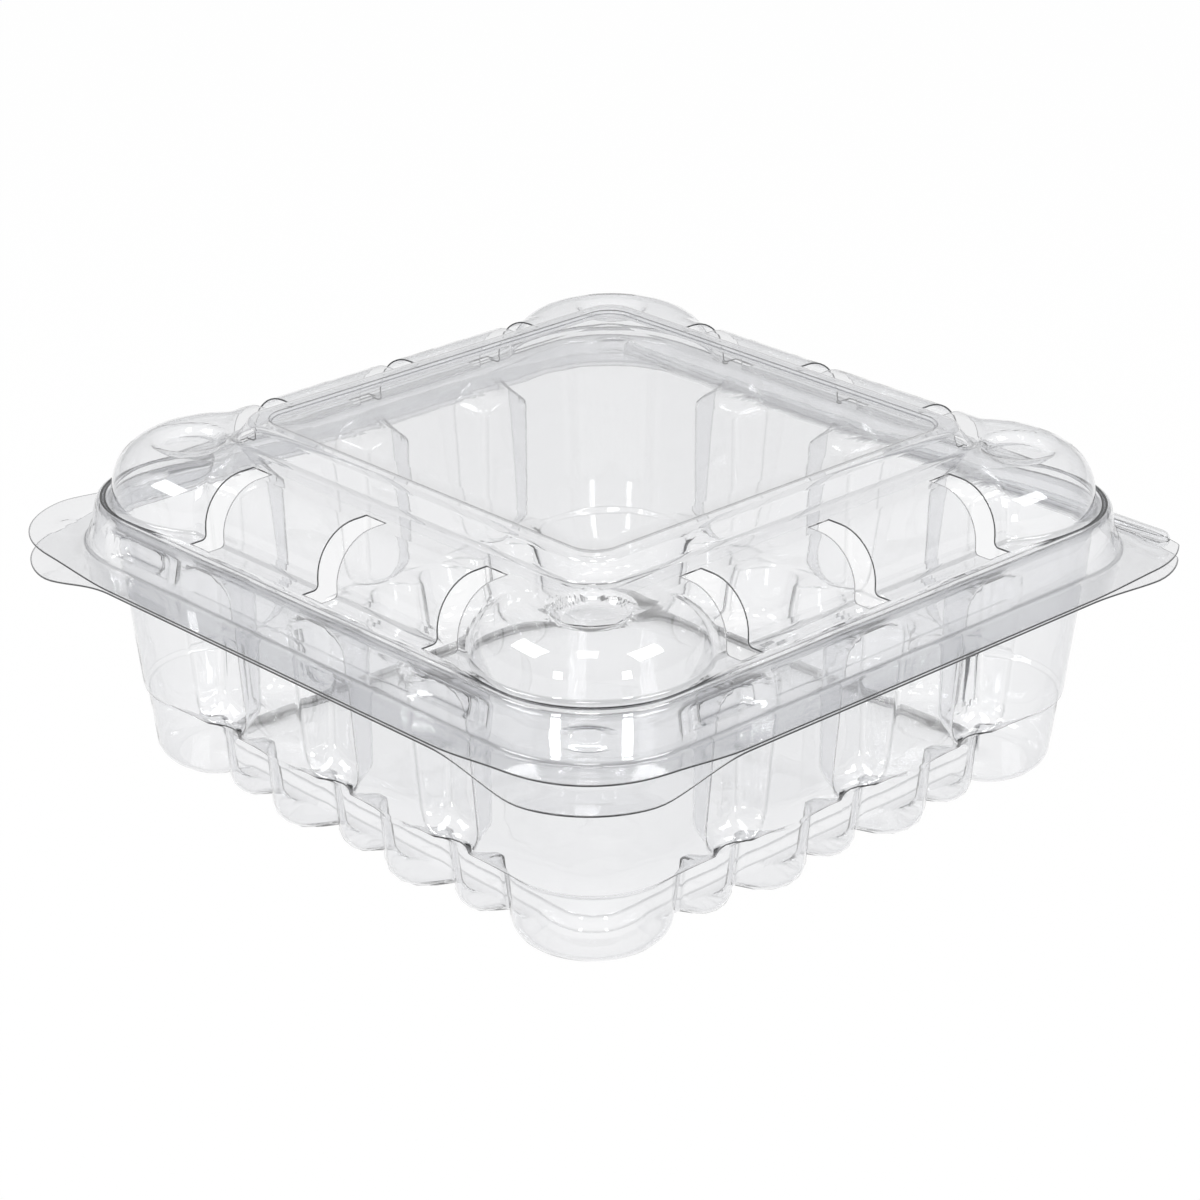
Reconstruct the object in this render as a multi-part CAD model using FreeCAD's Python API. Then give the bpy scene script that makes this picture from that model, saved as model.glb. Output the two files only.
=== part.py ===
import FreeCAD, Part
import math
import os

# Clear hinged clamshell pack, thermoformed from one sheet. Millimetres, +Z up.
# The origin is the middle of the footprint, on the surface that the feet rest on.
# The finger tabs are at the two front corners (-Y) and the hinge runs along the back (+Y).
# Every form is drawn about the tray's own upright axis, and the finished nodes are then moved
# along Y, because the flange reaches further out at the front than at the hinge.

# Sheet
WALL = 0.4

# Heights above the resting surface
MATE_Z = 53.0
LEDGE_Z = 64.0
CROWN_Z = 77.0
WINDOW_Z = 82.0
RIM_Z = 62.0
STEP_Z = 18.5

# Flanges: two flat rims that meet at the mating plane
FLANGE_HALF = 98.5
FLANGE_CORNER = 24.0
FLANGE_GAP = 0.2
TAB_START = 112.0
TAB_RUN = 12.0
LID_TAB_RISE = 2.0
BASE_TAB_DROP = 4.0
LID_BACK_RISE = 1.0
BASE_BACK_DROP = 1.5

# Living hinge: a half-round bead above the crease and one below it
CREASE_Y = 94.0
CREASE_GAP = 0.2
BEAD_RADIUS = 2.0
BEAD_HALF = 86.0

# Lid skirt and crown
SKIRT_FOOT_HALF = 89.5
SKIRT_TOP_HALF = 88.0
SKIRT_CORNER = 25.6
LEDGE_ROUND = 1.5
CROWN_HALF = 80.0
CROWN_CORNER = 18.0
CROWN_ROUND = 10.5
POD_CENTRE = 60.0
POD_RADIUS = 25.0
POD_ROUND = 10.0
DIMPLE_CENTRE = 65.3
DIMPLE_RADIUS = 8.8
DIMPLE_FLOOR_RADIUS = 6.6
DIMPLE_DEPTH = 2.2

# Raised window in the lid
WINDOW_FOOT_HALF = 59.7
WINDOW_TOP_HALF = 58.3
WINDOW_CORNER = 6.0
WINDOW_ROUND = 1.2
PANEL_HALF = 54.0
PANEL_CORNER = 6.0
PANEL_DEPTH = 0.8

# Vent slots: three along each side, punched through the shoulder
SLOT_PITCH = 38.1
SLOT_WIDTH = 6.3
SLOT_INNER = 66.0
SLOT_OUTER = 84.1

# Snap pockets in the skirt, two on the front and one on each side
LATCH_LENGTH = 22.0
LATCH_BOTTOM_Z = 54.2
LATCH_TOP_Z = 61.6
LATCH_DEPTH = 1.8
LATCH_SLOPE = 2.0
LATCH_TOE = 1.0
LATCH_FRONT_X = (-54.5, 46.0)
LATCH_SIDE_Y = -49.5
LATCH_CLEARANCE = 0.5
LATCH_END_CLEARANCE = 1.0

# Base rim that stands inside the skirt
RIM_CLEARANCE = 0.6
RIM_ROUND = 1.2

# Tray wall above the step
WALL_TOP_HALF = 84.4
WALL_STEP_HALF = 80.0
WALL_TOP_CORNER = 22.0
WALL_STEP_CORNER = 19.5

# Upright channels in the tray wall, one below each vent slot
CHANNEL_WIDTH = 17.0
CHANNEL_BACK = 74.0
CHANNEL_TOP_Z = 57.0
CHANNEL_ROUND = 5.0

# Tray below the step
LOWER_TOP_HALF = 73.0
LOWER_FOOT_HALF = 71.0
LOWER_CORNER = 14.0
LOWER_ROUND = 5.0
LOBE_ROUND = 5.0
LOBE_LIFT = 1.0
LARGE_LOBE_RADIUS = 10.0
LARGE_LOBE_OUT = 80.0
SMALL_LOBE_RADIUS = 7.6
SMALL_LOBE_OUT = 77.5
FOOT_CENTRE = 60.6
FOOT_TOP_RADIUS = 18.0
FOOT_RADIUS = 16.6
FOOT_ROUND = 6.5

# Floor: a raised panel crossed by low ribs
FLOOR_HALF = 64.0
FLOOR_CORNER = 8.5
FLOOR_RISE = 3.0
RIB_WIDTH = 6.0
RIB_RISE = 1.5

# Spare length by which a cutting form passes the face that it opens
PASS = 1.0

SQUARE_TURNS = (0, 90, 180, 270)
CORNERS = ((1, 1), (1, -1), (-1, 1), (-1, -1))
SLOT_PLACES = (-SLOT_PITCH, 0.0, SLOT_PITCH)
PANEL_PLACES = (-SLOT_PITCH / 2, SLOT_PITCH / 2)

LID_UNDER_Z = MATE_Z + FLANGE_GAP / 2
BASE_TOP_Z = MATE_Z - FLANGE_GAP / 2
FLANGE_BACK_Y = CREASE_Y - CREASE_GAP
BEAD_Y = FLANGE_BACK_Y - BEAD_RADIUS
CENTRE_SHIFT = (FLANGE_HALF - FLANGE_BACK_Y) / 2
ORIGIN = FreeCAD.Vector(0, 0, 0)
UP = FreeCAD.Vector(0, 0, 1)
ALONG_X = FreeCAD.Vector(1, 0, 0)


def fuse(shapes):
    """One solid out of several that overlap."""
    first, rest = shapes[0], shapes[1:]
    return first.fuse(rest) if rest else first


def turned(shape, angle):
    """A copy turned about the pack's upright axis."""
    copy = shape.copy()
    copy.rotate(ORIGIN, UP, angle)
    return copy


def round_wire(x0, x1, y0, y1, radius, z):
    """Rectangle with its four corners rounded, as lines and quarter arcs at height z."""
    def at(x, y):
        return FreeCAD.Vector(x, y, z)

    bend = radius * (1 - math.sqrt(0.5))
    edges = [
        Part.LineSegment(at(x0 + radius, y0), at(x1 - radius, y0)),
        Part.Arc(at(x1 - radius, y0), at(x1 - bend, y0 + bend), at(x1, y0 + radius)),
        Part.LineSegment(at(x1, y0 + radius), at(x1, y1 - radius)),
        Part.Arc(at(x1, y1 - radius), at(x1 - bend, y1 - bend), at(x1 - radius, y1)),
        Part.LineSegment(at(x1 - radius, y1), at(x0 + radius, y1)),
        Part.Arc(at(x0 + radius, y1), at(x0 + bend, y1 - bend), at(x0, y1 - radius)),
        Part.LineSegment(at(x0, y1 - radius), at(x0, y0 + radius)),
        Part.Arc(at(x0, y0 + radius), at(x0 + bend, y0 + bend), at(x0 + radius, y0)),
    ]
    return Part.Wire([edge.toShape() for edge in edges])


def block(half, radius, z0, z1):
    """Upright block on a rounded square."""
    wire = round_wire(-half, half, -half, half, radius, z0)
    return Part.Face(wire).extrude(FreeCAD.Vector(0, 0, z1 - z0))


def drafted(half0, radius0, z0, half1, radius1, z1):
    """Block whose rounded square changes evenly from z0 to z1."""
    low = round_wire(-half0, half0, -half0, half0, radius0, z0)
    high = round_wire(-half1, half1, -half1, half1, radius1, z1)
    return Part.makeLoft([low, high], True, True)


def rounded_at(shape, z, radius):
    """The shape with every edge that lies at height z filleted."""
    edges = [e for e in shape.Edges if abs(e.BoundBox.ZMin - z) + abs(e.BoundBox.ZMax - z) < 1e-5]
    return shape.makeFillet(radius, edges)


def post(x, y, foot_radius, top_radius, z0, z1):
    """Upright round post, tapered when its two radii differ."""
    place = FreeCAD.Vector(x, y, z0)
    if foot_radius == top_radius:
        return Part.makeCylinder(foot_radius, z1 - z0, place)
    return Part.makeCone(foot_radius, top_radius, z1 - z0, place)


def between(z, z0, value0, z1, value1):
    """The value at height z on the straight line between two heights."""
    return value0 + (value1 - value0) * (z - z0) / (z1 - z0)


def skirt_half(z):
    """Half width of the lid skirt's outer face at height z."""
    return between(z, MATE_Z, SKIRT_FOOT_HALF, LEDGE_Z, SKIRT_TOP_HALF)


def wall_half(z):
    """Half width of the tray wall's outer face at height z."""
    return between(z, STEP_Z, WALL_STEP_HALF, RIM_Z, WALL_TOP_HALF)


def wall_corner(z):
    """Corner radius of the tray wall's outer face at height z."""
    return between(z, STEP_Z, WALL_STEP_CORNER, RIM_Z, WALL_TOP_CORNER)


def snap_pocket(along, face, depth, grow, top_z):
    """Pocket in the front face of a block: a bottom and two ends that slope to a smaller back."""
    def rectangle(y, spread):
        half = LATCH_LENGTH / 2 + grow - LATCH_SLOPE * (1 - spread)
        low = LATCH_BOTTOM_Z - grow + LATCH_TOE * (1 - spread)
        corners = [(along - half, low), (along + half, low), (along + half, top_z), (along - half, top_z)]
        points = [FreeCAD.Vector(x, y, z) for x, z in corners]
        return Part.makePolygon(points + points[:1])

    back = -(face - depth)
    front = -(face + PASS)
    slant = (depth + PASS) / depth
    return Part.makeLoft([rectangle(back, 0.0), rectangle(front, slant)], True, True)


def snap_pockets(face, depth, grow, top_z):
    """The pockets on the front and on both sides, from the front one turned about the axis."""
    front = [snap_pocket(x, face, depth, grow, top_z) for x in LATCH_FRONT_X]
    right = turned(snap_pocket(LATCH_SIDE_Y, face, depth, grow, top_z), 90)
    left = turned(snap_pocket(-LATCH_SIDE_Y, face, depth, grow, top_z), -90)
    return front + [right, left]


def lid_form(inset):
    """The lid as a filled form, with every face moved inwards by inset."""
    bottom = MATE_Z - (PASS if inset else 0.0)
    top = LEDGE_Z - inset
    corner = SKIRT_CORNER - inset
    skirt = drafted(skirt_half(bottom) - inset, corner, bottom, skirt_half(top) - inset, corner, top)
    skirt = rounded_at(skirt, top, LEDGE_ROUND)
    crown = block(CROWN_HALF - inset, CROWN_CORNER - inset, LEDGE_Z - 2 * PASS, CROWN_Z - inset)
    crown = rounded_at(crown, CROWN_Z - inset, CROWN_ROUND - inset)
    pods = [lid_pod(sx, sy, inset) for sx, sy in CORNERS]
    window = drafted(WINDOW_FOOT_HALF - inset, WINDOW_CORNER, CROWN_Z - inset - PASS,
                     WINDOW_TOP_HALF - inset, WINDOW_CORNER, WINDOW_Z - inset)
    window = rounded_at(window, WINDOW_Z - inset, WINDOW_ROUND)
    form = fuse([skirt, crown, window] + pods)
    panel = block(PANEL_HALF + inset, PANEL_CORNER + inset, WINDOW_Z - PANEL_DEPTH - inset, WINDOW_Z + PASS)
    dimples = [dimple(sx, sy, inset) for sx, sy in CORNERS]
    middle_z = (LATCH_BOTTOM_Z + LATCH_TOP_Z) / 2
    face = skirt_half(middle_z) - inset
    pockets = snap_pockets(face, LATCH_DEPTH, inset, LATCH_TOP_Z + inset)
    return form.cut([panel] + dimples + pockets)


def lid_pod(sx, sy, inset):
    """Domed corner pod of the lid, level with the crown."""
    top = CROWN_Z - inset
    pod = post(sx * POD_CENTRE, sy * POD_CENTRE, POD_RADIUS - inset, POD_RADIUS - inset,
               LEDGE_Z - 2 * PASS, top)
    return rounded_at(pod, top, POD_ROUND - inset)


def dimple(sx, sy, inset):
    """Round dished pocket in the top of a pod."""
    floor = CROWN_Z - DIMPLE_DEPTH - inset
    widen = (DIMPLE_RADIUS - DIMPLE_FLOOR_RADIUS) * PASS / DIMPLE_DEPTH
    top = floor + DIMPLE_DEPTH + PASS
    return post(sx * DIMPLE_CENTRE, sy * DIMPLE_CENTRE, DIMPLE_FLOOR_RADIUS + inset,
                DIMPLE_RADIUS + inset + widen, floor, top)


def vent_slots():
    """Straight cutters that pass from the flat crown over the shoulder on to the ledge."""
    cutters = []
    for place in SLOT_PLACES:
        corner = FreeCAD.Vector(place - SLOT_WIDTH / 2, -SLOT_OUTER, LEDGE_Z - WALL - PASS)
        slot = Part.makeBox(SLOT_WIDTH, SLOT_OUTER - SLOT_INNER, CROWN_Z - LEDGE_Z + WALL + 2 * PASS, corner)
        cutters += [turned(slot, angle) for angle in SQUARE_TURNS]
    return cutters


def flange_outline(z, height):
    """Block on the outline that both flanges share."""
    wire = round_wire(-FLANGE_HALF, FLANGE_HALF, -FLANGE_HALF, FLANGE_BACK_Y, FLANGE_CORNER, z)
    return Part.Face(wire).extrude(FreeCAD.Vector(0, 0, height))


def corner_sheet(under_z, rise, diagonal_angle):
    """Sheet across one corner: flat, then an even S-bend to a level rise higher, seen from the side."""
    start = TAB_START
    end = TAB_START + TAB_RUN
    far = 2 * FLANGE_HALF
    near = start - PASS

    def at(d, z):
        return FreeCAD.Vector(d, -FLANGE_HALF, z)

    def s_curve(z, back):
        third = TAB_RUN / 3
        poles = [at(start, z), at(start + third, z), at(end - third, z + rise), at(end, z + rise)]
        curve = Part.BezierCurve()
        curve.setPoles(poles[::-1] if back else poles)
        return curve.toShape()

    low, high = under_z, under_z + WALL
    edges = [
        Part.makeLine(at(near, low), at(start, low)),
        s_curve(low, False),
        Part.makeLine(at(end, low + rise), at(far, low + rise)),
        Part.makeLine(at(far, low + rise), at(far, high + rise)),
        Part.makeLine(at(far, high + rise), at(end, high + rise)),
        s_curve(high, True),
        Part.makeLine(at(start, high), at(near, high)),
        Part.makeLine(at(near, high), at(near, low)),
    ]
    sheet = Part.Face(Part.Wire(edges)).extrude(FreeCAD.Vector(0, 2 * FLANGE_HALF, 0))
    return turned(sheet, diagonal_angle)


def corner_space(angle):
    """Everything beyond the bend line of one corner."""
    space = Part.makeBox(FLANGE_HALF, 2 * FLANGE_HALF, 2 * MATE_Z, FreeCAD.Vector(TAB_START, -FLANGE_HALF, 0))
    return turned(space, angle)


def flange(under_z, front_rise, back_rise):
    """Flat flange whose four corners bend to their own level."""
    flat = flange_outline(under_z, WALL)
    flat = flat.cut([corner_space(angle) for angle in (-135, -45, 45, 135)])
    outline = flange_outline(0, 2 * MATE_Z)
    corners = []
    for angle, rise in ((-135, front_rise), (-45, front_rise), (45, back_rise), (135, back_rise)):
        corners.append(corner_sheet(under_z, rise, angle).common(outline))
    return fuse([flat] + corners)


def bead(radius, z, side):
    """Half-round rod along the crease with round ends, above z for side 1 and below it for -1."""
    rod = Part.makeCylinder(radius, 2 * BEAD_HALF, FreeCAD.Vector(-BEAD_HALF, BEAD_Y, z), ALONG_X)
    ends = [Part.makeSphere(radius, FreeCAD.Vector(s * BEAD_HALF, BEAD_Y, z)) for s in (-1, 1)]
    low = z if side > 0 else z - 2 * radius
    corner = FreeCAD.Vector(-FLANGE_HALF, BEAD_Y - 2 * radius, low)
    keep = Part.makeBox(2 * FLANGE_HALF, 4 * radius, 2 * radius, corner)
    return fuse([rod] + ends).common(keep)


def hinged(sheet, z, side):
    """The flange with its bead formed in it: the rod's skin is added and its inside opened."""
    skin = bead(BEAD_RADIUS, z, side)
    hollow = bead(BEAD_RADIUS - WALL, z, side)
    return sheet.fuse(skin).cut(hollow)


def lid():
    """Lid: skirt, ledge, crown, pods and window in one sheet, with its flange and hinge bead."""
    inner = lid_form(WALL)
    shell = lid_form(0.0).cut(inner)
    shell = shell.common(Part.makeBox(4 * FLANGE_HALF, 4 * FLANGE_HALF, WINDOW_Z,
                                      FreeCAD.Vector(-2 * FLANGE_HALF, -2 * FLANGE_HALF, LID_UNDER_Z)))
    rim = flange(LID_UNDER_Z, LID_TAB_RISE, LID_BACK_RISE)
    rim = hinged(rim, LID_UNDER_Z, 1).cut(inner)
    return shell.fuse(rim).cut(vent_slots()).removeSplitter()


def rim_form(inset):
    """The base rim that plugs into the lid skirt, as a filled form moved inwards by inset."""
    bottom = MATE_Z - 2 * PASS if inset else BASE_TOP_Z - WALL
    top = RIM_Z - inset
    gap = WALL + RIM_CLEARANCE + inset
    corner = SKIRT_CORNER - gap
    form = drafted(skirt_half(bottom) - gap, corner, bottom, skirt_half(top) - gap, corner, top)
    form = rounded_at(form, top, RIM_ROUND)
    middle_z = (LATCH_BOTTOM_Z + LATCH_TOP_Z) / 2
    lid_back = skirt_half(middle_z) - LATCH_DEPTH - WALL
    depth = skirt_half(middle_z) - gap - (lid_back - LATCH_CLEARANCE) + inset
    grow = inset + WALL + LATCH_END_CLEARANCE
    return form.cut(snap_pockets(skirt_half(middle_z) - gap, depth, grow, RIM_Z + PASS))


def channel(inset):
    """Cutter for one upright channel in the front wall, with a round lower end."""
    half = CHANNEL_WIDTH / 2 + inset
    back = CHANNEL_BACK - inset
    depth = WALL_TOP_HALF + 2 * PASS - back
    foot = STEP_Z + CHANNEL_WIDTH / 2
    corner = FreeCAD.Vector(-half, -back - depth, foot)
    upright = Part.makeBox(2 * half, depth, CHANNEL_TOP_Z + inset - foot, corner)
    end = Part.makeCylinder(half, depth, FreeCAD.Vector(0, -back - depth, foot), FreeCAD.Vector(0, 1, 0))
    cutter = upright.fuse(end).removeSplitter()
    inner = [e for e in cutter.Edges if abs(e.BoundBox.YMin + back) + abs(e.BoundBox.YMax + back) < 1e-5]
    return cutter.makeFillet(CHANNEL_ROUND, inner)


def tray_form(inset):
    """The tray as a filled form, with every face moved inwards by inset."""
    step = STEP_Z + inset
    top = RIM_Z + (PASS if inset else 0.0)
    upper = drafted(wall_half(step) - inset, wall_corner(step) - inset, step,
                    wall_half(top) - inset, wall_corner(top) - inset, top)
    foot_z = inset + LOBE_LIFT
    lower = drafted(LOWER_FOOT_HALF - inset, LOWER_CORNER - inset, foot_z,
                    LOWER_TOP_HALF - inset, LOWER_CORNER - inset, step + PASS)
    lower = rounded_at(lower, foot_z, LOWER_ROUND)
    form = fuse([upper, lower] + lobes(inset) + feet(inset))
    cutters = []
    for place in SLOT_PLACES:
        cutter = channel(inset)
        cutter.translate(FreeCAD.Vector(place, 0, 0))
        cutters += [turned(cutter, angle) for angle in SQUARE_TURNS]
    return form.cut(cutters + floor_cutters(inset))


def lobes(inset):
    """Round lobes below the step: large ones under the panels, small ones under the channels."""
    shapes = []
    z0 = inset + LOBE_LIFT
    z1 = STEP_Z + inset + (0.0 if inset else PASS)
    rows = [(x, LARGE_LOBE_RADIUS, LARGE_LOBE_OUT, z1) for x in PANEL_PLACES]
    rows += [(x, SMALL_LOBE_RADIUS, SMALL_LOBE_OUT, STEP_Z - inset) for x in SLOT_PLACES]
    for x, radius, out, top in rows:
        lobe = post(x, -(out - radius), radius - inset, radius - inset, z0, top)
        lobe = rounded_at(lobe, z0, LOBE_ROUND)
        shapes += [turned(lobe, angle) for angle in SQUARE_TURNS]
    return shapes


def feet(inset):
    """The four corner feet that the pack stands on."""
    shapes = []
    for sx, sy in CORNERS:
        foot = post(sx * FOOT_CENTRE, sy * FOOT_CENTRE, FOOT_RADIUS - inset, FOOT_TOP_RADIUS - inset,
                    inset, STEP_Z + inset + PASS)
        shapes.append(rounded_at(foot, inset, FOOT_ROUND))
    return shapes


def floor_cutters(inset):
    """What lifts the floor from below: its middle panel, and ribs that join opposite channels."""
    panel = block(FLOOR_HALF + inset, FLOOR_CORNER + inset, -PASS, LOBE_LIFT + FLOOR_RISE + inset)
    shapes = [panel]
    length = 2 * (FLOOR_HALF + inset)
    height = LOBE_LIFT + FLOOR_RISE + RIB_RISE + inset + PASS
    for place in SLOT_PLACES:
        corner = FreeCAD.Vector(place - RIB_WIDTH / 2 - inset, -length / 2, -PASS)
        rib = Part.makeBox(RIB_WIDTH + 2 * inset, length, height, corner)
        shapes += [rib, turned(rib, 90)]
    return shapes


def base_tray():
    """Base: flange, plug rim and tray in one sheet, open at the top."""
    rim_inner = rim_form(WALL)
    tray_inner = tray_form(WALL)
    sheet = flange(BASE_TOP_Z - WALL, -BASE_TAB_DROP, -BASE_BACK_DROP)
    sheet = hinged(sheet, BASE_TOP_Z, -1).cut(rim_inner)
    rim = rim_form(0.0).cut(rim_inner)
    tray = tray_form(0.0)
    return fuse([sheet, rim, tray]).cut(tray_inner).removeSplitter()


def save(name, shape):
    """Write one node, with the middle of the flange moved on to the origin's axis."""
    solids = shape.Solids
    kept = solids[0] if len(solids) == 1 else Part.makeCompound(solids)
    kept.translate(FreeCAD.Vector(0, CENTRE_SHIFT, 0))
    print(name, "solids", len(solids), "valid", kept.isValid(), "volume", round(kept.Volume, 1))
    kept.exportStep(os.path.join("parts", name + ".step"))


os.makedirs("parts", exist_ok=True)
save("base_tray", base_tray())
save("lid", lid())
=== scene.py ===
import math

import bpy
import numpy as np
from mathutils import Matrix, Vector


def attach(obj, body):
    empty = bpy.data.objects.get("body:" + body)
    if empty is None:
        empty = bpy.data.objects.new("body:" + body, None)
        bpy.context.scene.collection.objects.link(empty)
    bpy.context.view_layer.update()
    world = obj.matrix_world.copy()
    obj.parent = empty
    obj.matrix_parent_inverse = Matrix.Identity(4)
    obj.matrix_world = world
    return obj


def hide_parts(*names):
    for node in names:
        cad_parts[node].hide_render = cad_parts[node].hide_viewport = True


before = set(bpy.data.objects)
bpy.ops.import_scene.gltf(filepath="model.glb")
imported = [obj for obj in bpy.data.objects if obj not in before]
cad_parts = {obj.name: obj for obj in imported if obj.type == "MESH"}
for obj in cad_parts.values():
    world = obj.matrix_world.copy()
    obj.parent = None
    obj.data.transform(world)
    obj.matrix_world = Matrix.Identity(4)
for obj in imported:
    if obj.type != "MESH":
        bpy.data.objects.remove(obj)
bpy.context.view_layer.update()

# Clear clamshell pack. Lengths are in millimetres until a mesh is made, and every surface is drawn
# about the tray's upright axis, which lies AXIS_Y behind the frame's origin.
MM = 0.001
AXIS_Y = 2.35
SHEET = 0.32

# Heights
LID_TOP_Z = 53.5
TRAY_UNDER_Z = 52.5
LEDGE_Z = 64.0
CROWN_Z = 77.0
WINDOW_Z = 82.0
RIM_Z = 62.0
STEP_Z = 18.5

# Flanges
FLANGE_HALF, FLANGE_BACK, FLANGE_CORNER = 98.35, 93.8, 24.0
CUT_EDGE = 0.03
FLANGE_SHARES = (0.17, 0.34, 0.5, 0.67, 0.84, 1 - CUT_EDGE, 1.0)
BEND_START, BEND_RUN = 107.0, 19.0
LID_FRONT_RISE, LID_BACK_RISE = 2.0, 1.0
TRAY_FRONT_RISE, TRAY_BACK_RISE = -4.0, -1.5
OVAL_PLACE, OVAL_LENGTH, OVAL_WIDTH, OVAL_RISE, OVAL_SLOPE = 121.0, 5.0, 2.2, 0.7, 0.5

# Hinge beads
BEAD_RADIUS, BEAD_HALF = 2.0, 86.0
BEAD_Y = FLANGE_BACK - BEAD_RADIUS
BEAD_STEPS, BEAD_TIP = 17, 0.02

# Lid
PANEL_HALF, PANEL_CORNER, PANEL_DEPTH, PANEL_EDGE = 54.0, 6.0, 0.8, 1.0
WINDOW_TOP_HALF, WINDOW_FOOT_HALF, WINDOW_CORNER = 58.3, 59.7, 6.0
WINDOW_ROUND, WINDOW_FILLET = 1.5, 1.2
CROWN_HALF, CROWN_ROUND, CROWN_FILLET = 80.0, 10.5, 1.0
POD_CENTRE, POD_RADIUS, POD_FILLET = 60.0, 25.0, 3.0
DIMPLE_CENTRE, DIMPLE_RADIUS, DIMPLE_SLOPE, DIMPLE_DEPTH = 65.3, 8.8, 2.2, 2.2
SKIRT_TOP_HALF, SKIRT_FOOT_HALF, SKIRT_CORNER, SKIRT_FILLET = 88.0, 89.5, 25.6, 1.0
SKIRT_CORE = SKIRT_FOOT_HALF - SKIRT_CORNER
LEDGE_ROUND = 1.5
LEDGE_GROOVE = ((0.15, 0.0), (0.35, 0.12), (0.55, 0.2), (0.75, 0.12), (0.92, 0.0))
SLOT_PITCH, SLOT_WIDTH, SLOT_INNER, SLOT_OUTER, SLOT_EDGE = 38.1, 6.3, 66.0, 84.1, 0.2
SLOT_PLACES = (-SLOT_PITCH, 0.0, SLOT_PITCH)

# Heights of the skirt's rings, close together at the ends of the snap pockets
SKIRT_HEIGHTS = (61.9, 61.5, 61.1, 60.8, 60.6, 60.45, 60.3, 60.15, 60.0, 59.6, 59.0, 58.2, 57.4, 56.7,
                 56.35, 56.2, 56.05, 55.9, 55.7, 55.2, LID_TOP_Z + SKIRT_FILLET)

# Snap pockets. LATCHES gives, for each side of the pack, where they lie along it, seen from outside.
# A pocket is pressed in one or two levels: (half length, low, high, slope, depth).
LATCHES = {0: (-54.5, 46.0), 1: (-49.5,), 2: (), 3: (49.5,)}
LATCH_CORNER = 2.0
LID_POCKETS = ((11.0, 54.7, 61.7, 1.0, 0.6), (7.5, 55.8, 60.7, 0.6, 1.7))
TRAY_POCKETS = ((12.4, 53.6, 60.9, 1.4, 2.0),)

# Skirt's set-back middles and corner buttons
PANEL_STEP, PANEL_END, PANEL_SLOPE = 0.7, 36.5, 1.2
PANEL_ABOVE_FOOT, PANEL_BELOW_LEDGE, PANEL_FADE = 1.2, 1.6, 0.8
BUTTON_Z, BUTTON_LENGTH, BUTTON_HEIGHT, BUTTON_DEPTH, BUTTON_SLOPE = 58.6, 6.5, 2.6, 1.1, 0.4

# Tray
RIM_TOP_HALF, RIM_FOOT_HALF, RIM_CORNER, RIM_ROUND, RIM_FILLET = 87.0, 88.5, 24.6, 1.2, 1.0
WALL_TOP_HALF, WALL_STEP_HALF, WALL_TOP_CORNER, WALL_STEP_CORNER = 84.4, 80.0, 22.0, 19.5
STEP_BELOW, STEP_ABOVE = 1.6, 0.2
CHANNEL_HALF, CHANNEL_BACK, CHANNEL_WALL, CHANNEL_EDGE, CHANNEL_FLARE = 8.5, 74.0, 2.4, 0.3, 5.0
CHANNEL_TOP_Z, CHANNEL_CAP, CHANNEL_SINK, CHANNEL_CLEAR = 57.0, 0.4, 1.5, 2.0
LOWER_HALF, LOWER_DRAFT, LOWER_ROUND = 73.0, 1.5, 5.0
LARGE_LOBE_RADIUS, LARGE_LOBE_OUT = 10.0, 80.0
SMALL_LOBE_RADIUS, SMALL_LOBE_OUT = 7.6, 77.5
LOBE_BLEND, LOBE_LIFT = 0.5, 1.0
FOOT_CENTRE, FOOT_RADIUS, FOOT_FILLET, FOOT_START = 60.3, 18.8, 1.5, 0.3
FLOOR_HALF, FLOOR_CORNER, FLOOR_Z, FLOOR_SLOPE = 63.0, 8.5, 4.0, 1.4

# Columns and rings: the share of the way to the diagonal where the columns' spacing changes, the
# columns before and after it, the columns of a channel and of the wall beside it, and the wall's rings
NEAR_SHARE = 0.55
LID_COLUMNS, TRAY_COLUMNS = (26, 16), (13, 10)
CHANNEL_COLUMNS = (0, 2, 4, 5.4, 6.2, 6.8, 7.4, 7.9, 8.25, 8.55, 8.9)
BESIDE_COLUMNS = (9.4, 10.2, 11.4, 13, 16)
WALL_HEIGHTS = np.concatenate([
    np.linspace(STEP_Z + STEP_ABOVE, STEP_Z + 7.5, 8),
    np.linspace(STEP_Z + 9, CHANNEL_TOP_Z - 6, 5),
    np.linspace(CHANNEL_TOP_Z - 4.8, CHANNEL_TOP_Z + 1.5, 6),
    [RIM_Z - RIM_ROUND],
])

# Plastic: what it lets through seen face on and edge on, then painted shade for the dark lines at a sharp
# fold and at a trimmed edge
FACE_TINT, SIDE_TINT = (0.970, 0.972, 0.977, 1.0), (0.64, 0.645, 0.665, 1.0)
FOLD_SHADE, FOLD_FROM, FOLD_TO, FOLD_POWER = (0.26, 0.265, 0.28, 1.0), 0.3, 1.7, 1.3
CUT_SHADE, CUT_CLEAR = (0.02, 0.021, 0.024, 1.0), 0.1
PLASTIC_IOR, FACING_BLEND = 1.56, 0.25
CLOUD_SCALE, CLOUD_DETAIL, CLOUD_RANGE, GLOSS_RANGE = 45.0, 2.0, (0.35, 0.65), (0.005, 0.02)
WAVE_SCALE, WAVE_DETAIL, WAVE_STRENGTH, WAVE_DISTANCE = 90.0, 1.0, 0.15, 0.0004

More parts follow.
